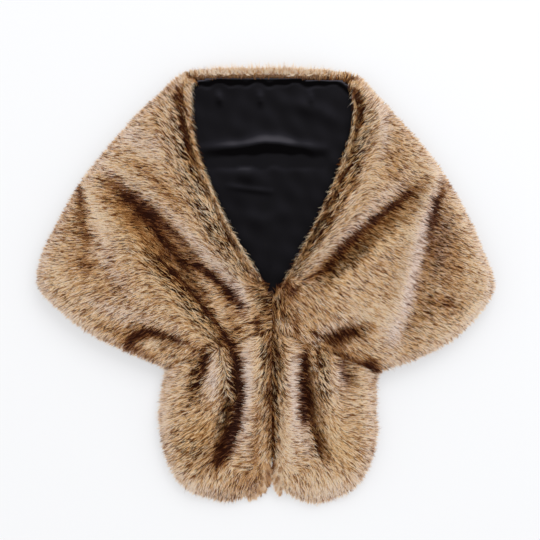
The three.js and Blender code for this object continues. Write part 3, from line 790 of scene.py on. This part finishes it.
def pile_material():
    """Modacrylic pile: heat-set fibres, dyed dark at the root and golden tan in the middle. Their shade also
    holds painted shade and painted highlights, paler where they lie flat, and the cool colours are a painted
    sheen along each fibre."""
    material, shader = new_material("modacrylic_pile")
    uv = add_node(material, "ShaderNodeUVMap", uv_map="OFBake")
    parts = add_node(material, "ShaderNodeSeparateXYZ", inputs={"Vector": uv.outputs["UV"]})
    warm = add_node(material, "ShaderNodeValToRGB", inputs={"Fac": parts.outputs["X"]}, stops=[
        (0.0, "#1c0a05"), (0.18, "#4a2313"), (0.36, "#945a30"), (0.54, "#cb9558"),
        (0.7, "#ebc082"), (0.86, "#f8dba9"), (1.0, "#fdeed2"),
    ])
    # The cool colours are a painted sheen.
    cool = add_node(material, "ShaderNodeValToRGB", inputs={"Fac": parts.outputs["X"]}, stops=[
        (0.0, "#1b0d08"), (0.18, "#45281e"), (0.36, "#80594a"), (0.54, "#ba9782"),
        (0.7, "#e2c6b1"), (0.86, "#f5e2d5"), (1.0, "#fef4ee"),
    ])
    is_cool = add_node(material, "ShaderNodeMath", operation="GREATER_THAN", inputs={
        0: parts.outputs["Y"], 1: 0.5,
    })
    twice = add_node(material, "ShaderNodeMath", operation="MULTIPLY", inputs={
        0: parts.outputs["Y"], 1: 2.0,
    })
    along = add_node(material, "ShaderNodeMath", operation="FRACT", inputs={0: twice.outputs[0]})
    shade = add_node(material, "ShaderNodeMix", data_type="RGBA", inputs={
        "Factor": is_cool.outputs[0], 6: warm.outputs["Color"], 7: cool.outputs["Color"],
    })
    dye = add_node(material, "ShaderNodeValToRGB", inputs={"Fac": along.outputs[0]}, stops=[
        (0.0, "#442a1c"), (0.38, "#ac9078"), (0.58, "#f4ebe2"), (0.85, "#ffffff"), (1.0, "#dcc6b0"),
    ])
    colour = add_node(material, "ShaderNodeMix", data_type="RGBA", blend_type="MULTIPLY", inputs={
        "Factor": 1.0, 6: shade.outputs[2], 7: dye.outputs["Color"],
    })
    material.node_tree.links.new(colour.outputs[2], shader.inputs["Base Color"])
    shader.inputs["Roughness"].default_value = 0.5
    shader.inputs["Specular IOR Level"].default_value = 0.06
    return material


def backing_material():
    """Knitted polyester backing under the pile, with the stubble of the shortest fibres on it. Its dark
    brown between the hairs is the under-fur's colour and also painted shade for the gaps in the pile."""
    material, shader = new_material("knitted_backing")
    place = add_node(material, "ShaderNodeTexCoord")
    stubble = add_node(material, "ShaderNodeTexNoise", inputs={
        "Vector": place.outputs["Object"], "Scale": 420.0, "Detail": 3.0,
    })
    colour = add_node(material, "ShaderNodeValToRGB", inputs={"Fac": stubble.outputs["Fac"]}, stops=[
        (0.3, "#150c07"), (0.6, "#3a2110"), (0.75, "#5c3a20"),
    ])
    bump = add_node(material, "ShaderNodeBump", inputs={
        "Height": stubble.outputs["Fac"], "Strength": 0.6, "Distance": 0.8 * MM,
    })
    material.node_tree.links.new(colour.outputs["Color"], shader.inputs["Base Color"])
    material.node_tree.links.new(bump.outputs["Normal"], shader.inputs["Normal"])
    shader.inputs["Roughness"].default_value = 0.9
    return material


def satin_material():
    """Black polyester satin. Its colour holds a painted highlight, paler on slopes that face the neck, and
    painted shade, black on those that face the hem, where its long floats running down the cloth would shine
    and go dark."""
    material, shader = new_material("polyester_satin")
    place = add_node(material, "ShaderNodeTexCoord")
    cloud = add_node(material, "ShaderNodeTexNoise", inputs={
        "Vector": place.outputs["Object"], "Scale": 16.0, "Detail": 2.0,
    })
    normal = add_node(material, "ShaderNodeSeparateXYZ", inputs={"Vector": place.outputs["Normal"]})
    # Painted highlight and painted shade: the base colour follows how far a slope faces the neck.
    painted_highlight = add_node(material, "ShaderNodeMath", operation="MULTIPLY_ADD", inputs={
        0: normal.outputs["Y"], 1: 1.3, 2: 0.22,
    })
    painted_highlight = add_node(material, "ShaderNodeMath", operation="MULTIPLY_ADD", inputs={
        0: cloud.outputs["Fac"], 1: 0.16, 2: painted_highlight.outputs[0],
    })
    colour = add_node(material, "ShaderNodeValToRGB", inputs={"Fac": painted_highlight.outputs[0]}, stops=[
        (0.05, "#020102"), (0.3, "#131215"), (0.5, "#1f1e23"), (0.8, "#454349"),
    ])
    # The real weave is 0.15 mm, so its floats are drawn 1.2 mm apart to show at all.
    weave = add_node(material, "ShaderNodeTexNoise", inputs={
        "Vector": place.outputs["Object"], "Scale": 850.0, "Detail": 2.0,
    })
    bump = add_node(material, "ShaderNodeBump", inputs={
        "Height": weave.outputs["Fac"], "Strength": 0.06, "Distance": 0.1 * MM,
    })
    material.node_tree.links.new(colour.outputs["Color"], shader.inputs["Base Color"])
    material.node_tree.links.new(bump.outputs["Normal"], shader.inputs["Normal"])
    shader.inputs["Roughness"].default_value = 0.4
    shader.inputs["Specular IOR Level"].default_value = 0.03
    return material


def paper_material():
    """Seamless white background paper: matt, with a glow that keeps the shadows on it faint."""
    material, shader = new_material("background_paper")
    shader.inputs["Base Color"].default_value = linear("#b7b8ba")
    shader.inputs["Roughness"].default_value = 0.95
    shader.inputs["Specular IOR Level"].default_value = 0.1
    shader.inputs["Emission Color"].default_value = linear("#fcfcfd")
    shader.inputs["Emission Strength"].default_value = 0.45
    return material


# ---- Cloth ----

COVER = 7 * MM  # pile over the backing
TUCK = 9 * MM  # from the edge of the fur to the backing's
LEAST_CLOTH = 1 * MM


def backing(solid, shore, spacing, material):
    """A closed cloth under the pile, drawn in from the edge of the fur."""
    low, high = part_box(solid.name)
    x = np.linspace(low.x, high.x, round((high.x - low.x) / spacing) + 1)
    y = np.linspace(low.y, high.y, round((high.y - low.y) / spacing) + 1)
    places = np.stack(np.meshgrid(x, y), -1).reshape(-1, 2)
    inside = (at(solid.inside.astype(float), places) > 0.5) & (at(shore, places) > TUCK)
    bottom = at(solid.lower, places) + 0.2 * MM
    top = np.maximum(at(solid.upper, places) - COVER, bottom + LEAST_CLOTH)
    return closed_sheet(f"{solid.name}_backing", places, top, bottom, inside, len(x), material)


# The lining's wrinkles and, in the three rows near its seam, its puckers. The amount is their height.
WRINKLES = [
    (2.2, 7, (-90, 192), (-53, 194), (-28, 196), (0, 200), (34, 197), (80, 192)),
    (2.0, 10, (-22, 199), (0, 202), (30, 200)),
    (-2.0, 9, (-80, 172), (-30, 174), (10, 177), (76, 174)),
    (0.8, 4, (-52, 140), (-24, 136), (8, 132)),
    (1.2, 12, (-44, 160), (-16, 154)),
    (0.5, 2, (8, 134), (7, 80), (6, 30)),
    (1.6, 4, (-66, 270), (-64, 256)),
    (1.6, 4, (-8, 270), (-7, 254)),
    (1.2, 4, (62, 270), (64, 256)),
    (0.9, 10, (30, 256), (76, 246), (104, 226)),
    (0.6, 10, (-34, 100), (-4, 92), (30, 102)),
]
LINING_THICKNESS = 1.2 * MM
LINING_RISE = 11.5 * MM  # from the solid's neck edge to where the sheet is seen to end
LEAST_LINING = 0.8 * MM
LINING_SMOOTHING = 40 * MM
SEAM_CELLS = 9  # the seam's line is evened out over this many cells
TURNED_EDGE = 7 * MM
EDGE_ROLL = 1.6 * MM  # how high the turned edge stands
EDGE_GROOVE = 1.0 * MM  # how deep the stitches pull the cloth in beside it

# The neck opening, where the sheet shows.
OPENING_SIDES = (-0.12, 0.13)
OPENING_CENTRE = 0.008
OPENING_TIP = 0.11  # from the fronts' lowest point
SEAM_REACH = 0.118  # from the centre to where the seam meets the fronts
SEAM_BLEND = 18 * MM
SEAM_LOW = 0.2  # the sheet goes past the solid only above this
# Its width at the height of the origin, what each metre towards the neck adds, and the least of it.
OPENING_WIDTH, OPENING_FLARE, OPENING_LEAST = 0.05, 0.75, 0.02


def lines(low, fine_low, fine_high, high):
    """Grid lines, fine in the neck opening and coarse under the fronts."""
    fine, coarse = 2.5 * MM, 12 * MM
    return np.concatenate([
        np.arange(low, fine_low, coarse),
        np.arange(fine_low, fine_high, fine),
        np.arange(fine_high, high - coarse / 2, coarse),
        [high],
    ])


def lining_sheet(solid, back, material):
    low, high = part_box("back_lining")
    neck = high.y + LINING_RISE
    x = lines(low.x, *OPENING_SIDES, high.x)
    y = lines(low.y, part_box("left_front")[0].y + OPENING_TIP, neck - 2.5 * MM, neck)
    places = np.stack(np.meshgrid(x, y), -1).reshape(-1, 2)
    from_centre = np.abs(places[:, 0] - OPENING_CENTRE)
    # The sheet is the solid's, drawn out towards the neck in the opening.
    opening = np.clip((SEAM_REACH - from_centre) / SEAM_BLEND, 0, 1)
    seam = np.array([GRID_Y[column].max() if column.any() else low.y for column in solid.inside.T])
    evened = np.convolve(np.pad(seam, SEAM_CELLS // 2, "edge"), np.ones(SEAM_CELLS) / SEAM_CELLS, "valid")
    edge = np.interp(places[:, 0], GRID_X, evened) + LINING_RISE * opening
    inside = at(solid.inside.astype(float), places) > 0.5
    inside |= (opening > 0) & (places[:, 1] > SEAM_LOW)
    inside &= places[:, 1] < edge + 1.5 * MM
    places[:, 1] = np.minimum(places[:, 1], edge)

    lower, upper = (
        smoothed(heights, solid.inside, LINING_SMOOTHING) for heights in (solid.lower, solid.upper)
    )
    floor = np.maximum(at(lower, places), at(back.upper, places) - 3 * MM) + 0.2 * MM
    height = np.maximum(at(upper, places), floor + LINING_THICKNESS)
    half_width = np.maximum(OPENING_WIDTH + OPENING_FLARE * places[:, 1], OPENING_LEAST) / 2
    covered = np.clip(from_centre / half_width - 1.6, 0, 1)
    height += (1 - covered) * table_at(WRINKLES, places) * MM
    height += (1 - covered) * 0.3 * MM * mottle(places, 30 * MM, np.random.default_rng(3))
    scallop = 1 + 0.3 * np.sin(places[:, 0] / (8 * MM)) + 0.25 * np.sin(places[:, 0] / (4.3 * MM) + 1)
    from_edge = (edge - places[:, 1]) / (TURNED_EDGE * scallop)
    height += EDGE_ROLL * np.sqrt(np.clip(1 - np.abs(from_edge / 0.5 - 1), 0, 1))
    height -= EDGE_GROOVE * np.exp(-(((from_edge - 1.15) / 0.25) ** 2))
    height = np.maximum(height, floor + LEAST_LINING)

    floor = np.maximum(floor, height - LINING_THICKNESS)
    return closed_sheet("lining_sheet", places, height, floor, inside, len(x), material)


def closed_sheet(name, places, top, bottom, inside, row_length, material):
    """A closed mesh between two heights over the squares of a grid whose corners are all inside."""
    count = len(places)
    corner = np.arange(count - row_length).reshape(-1, row_length)[:, :-1].ravel()
    squares = np.stack([corner, corner + 1, corner + row_length + 1, corner + row_length], 1)
    squares = squares[inside[squares].all(1)]
    edges = np.concatenate([squares[:, (k, (k + 1) % 4)] for k in range(4)])
    known = set(map(tuple, edges))
    rim = np.array([edge for edge in known if (edge[1], edge[0]) not in known])
    walls = np.stack([rim[:, 1], rim[:, 0], rim[:, 0] + count, rim[:, 1] + count], 1)
    faces = np.concatenate([squares, squares[:, ::-1] + count, walls])
    used, faces = np.unique(faces, return_inverse=True)
    points = np.column_stack([np.tile(places, (2, 1)), np.concatenate([top, bottom])])[used]
    mesh = bpy.data.meshes.new(name)
    mesh.from_pydata(points.tolist(), [], faces.reshape(-1, 4).tolist())
    mesh.polygons.foreach_set("use_smooth", np.ones(len(mesh.polygons), bool))
    mesh.update()
    mesh.materials.append(material)
    return linked(name, mesh)


# ---- Stage ----

def add_stage():
    far = 6.0
    mesh = bpy.data.meshes.new("floor")
    mesh.from_pydata([(-far, -far, 0), (far, -far, 0), (far, far, 0), (-far, far, 0)], [], [(0, 1, 2, 3)])
    mesh.materials.append(paper_material())
    linked("floor", mesh)

    world = bpy.data.worlds.new("studio")
    world.use_nodes = True
    world.node_tree.nodes["Background"].inputs["Color"].default_value = linear("#fdfdfd")
    world.node_tree.nodes["Background"].inputs["Strength"].default_value = 0.92
    bpy.context.scene.world = world

    data = bpy.data.lights.new("softbox", "AREA")
    data.shape, data.size, data.size_y = "RECTANGLE", 2.2, 1.6
    data.energy = 26.0
    softbox = bpy.data.objects.new("softbox", data)
    softbox.location = (0.8, 1.7, 2.0)
    softbox.rotation_euler = (-softbox.location).to_track_quat("-Z", "Y").to_euler()
    bpy.context.scene.collection.objects.link(softbox)
    bpy.context.scene.view_settings.view_transform = "Standard"


# ---- The capelet ----

# cut: width, length and flat area of the cloth. hairs: how many of the underfur and the guard hair.
# spread: two corners, in mm, of where the tails touch.
FUR_PIECES = {
    "left_front": dict(
        cut=(0.35, 0.42, 0.096), hairs=(118000, 125000), rim_hairs=13000, rests=["lining_sheet"],
    ),
    "right_front": dict(
        cut=(0.34, 0.42, 0.091), hairs=(114000, 120000), rim_hairs=13000, rests=["lining_sheet"],
    ),
    "left_tail": dict(
        cut=(0.19, 0.25, 0.042), hairs=(58000, 55000), rim_hairs=6000, rests=["floor"],
        spread=((-26, -300), (10, -222)),
    ),
    "right_tail": dict(
        cut=(0.18, 0.25, 0.040), hairs=(56000, 54000), rim_hairs=6000, rests=["floor"],
        spread=((2, -286), (22, -222)),
    ),
}
WISPS = 2500  # on each of them
SPREAD_HAIRS = 13000


def dress(piece):
    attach(piece, "root")


def within(low, high):
    """The cells of the grid between two corners, in mm."""
    columns = (GRID_X > low[0] * MM) & (GRID_X < high[0] * MM)
    rows = (GRID_Y > low[1] * MM) & (GRID_Y < high[1] * MM)
    return rows[:, None] & columns


def band(shore, low, high):
    """The cells that lie this far in from the edge of the fur, in mm."""
    return (shore > low * MM) & (shore < high * MM)


def add_fur_piece(face, cloth, piece, pile):
    """A front or a tail: its pile as two layers of hair over the cloth."""
    underfur, guard_hairs = piece["hairs"]
    inner_hair = grow(face, underfur, UNDERFUR, face.shore > 8 * MM, RNG)
    layers = [hair_mesh(f"{face.name}_underfur", inner_hair, pile)]

    side = band(face.shore, 5, 10) & (face.at_neck == 0)
    outer_hair = [
        grow(face, guard_hairs, GUARD_HAIR, face.shore > 6 * MM, RNG),
        grow(face, WISPS, WISP, band(face.shore, 4, 12), RNG),
        grow(face, piece["rim_hairs"], RIM_HAIR, side, RNG),
    ]
    if "spread" in piece:
        notch = within(*piece["spread"]) & (face.shore < 9 * MM)
        outer_hair.append(grow(face, SPREAD_HAIRS, SPREAD, notch, RNG))
    layers.append(hair_mesh(f"{face.name}_guard_hair", joined(outer_hair), pile))

    for part in (cloth, *layers):
        dress(part)
    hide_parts(face.name)


def add_back(solid, shore, cloth, pile):
    """The back: the strip of pile behind the lining, the pile round its edge, and what it lies on."""
    face, under = Face(solid, 1, shore, shore), Face(solid, -1, shore, shore)
    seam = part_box("back_lining")[1].y + LINING_RISE
    strip = (GRID_Y > seam)[:, None] & solid.inside
    inner_strip = strip & (GRID_Y > seam + 5 * MM)[:, None]
    edge_hair = joined([
        grow(face, 10000, UNDERFUR, inner_strip & (shore > 3 * MM), RNG),
        grow(face, 14000, STRIP_HAIR, strip & (shore > 9 * MM), RNG),
        grow(face, 1500, STRIP_WISP, strip & (shore > 9 * MM), RNG),
        grow(face, 16000, RIM_HAIR, band(shore, 5, 11), RNG),
        grow(under, 8000, UNDERFUR, band(shore, 5, 14), RNG),
    ])
    layers = [
        hair_mesh("back_edge_pile", edge_hair, pile),
        hair_mesh("back_pressed_pile", grow(under, 24000, PRESSED, shore > 5 * MM, RNG), pile),
    ]
    for part in (cloth, *layers):
        dress(part)
    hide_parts("back")


def main():
    add_camera()
    add_stage()
    pile, knit, satin = pile_material(), backing_material(), satin_material()
    solids = {name: Solid(name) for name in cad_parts}
    back, lining = solids["back"], solids["back_lining"]

    # Seen from above, the fur ends at the capelet's outline and at the edge of the neck opening, and
    # the pieces' joins with each other aren't an edge.
    strip = back.inside & (GRID_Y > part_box("back_lining")[1].y)[:, None]
    fur = strip | np.any([solids[name].inside for name in FUR_PIECES], 0)
    fur |= smoothed(fur.astype(float), np.ones(SHAPE), CELL) > 0.52
    shore = distance_in(fur)
    outline = distance_in(fur | back.inside)

    for name, piece in FUR_PIECES.items():
        cloth = backing(solids[name], shore, 4 * MM, knit)
        add_fur_piece(Face(solids[name], 1, shore, outline), cloth, piece, pile)
    add_back(back, outline, backing(back, outline, 6 * MM, knit), pile)

    sheet = lining_sheet(lining, back, satin)
    dress(sheet)
    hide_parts("back_lining")


main()
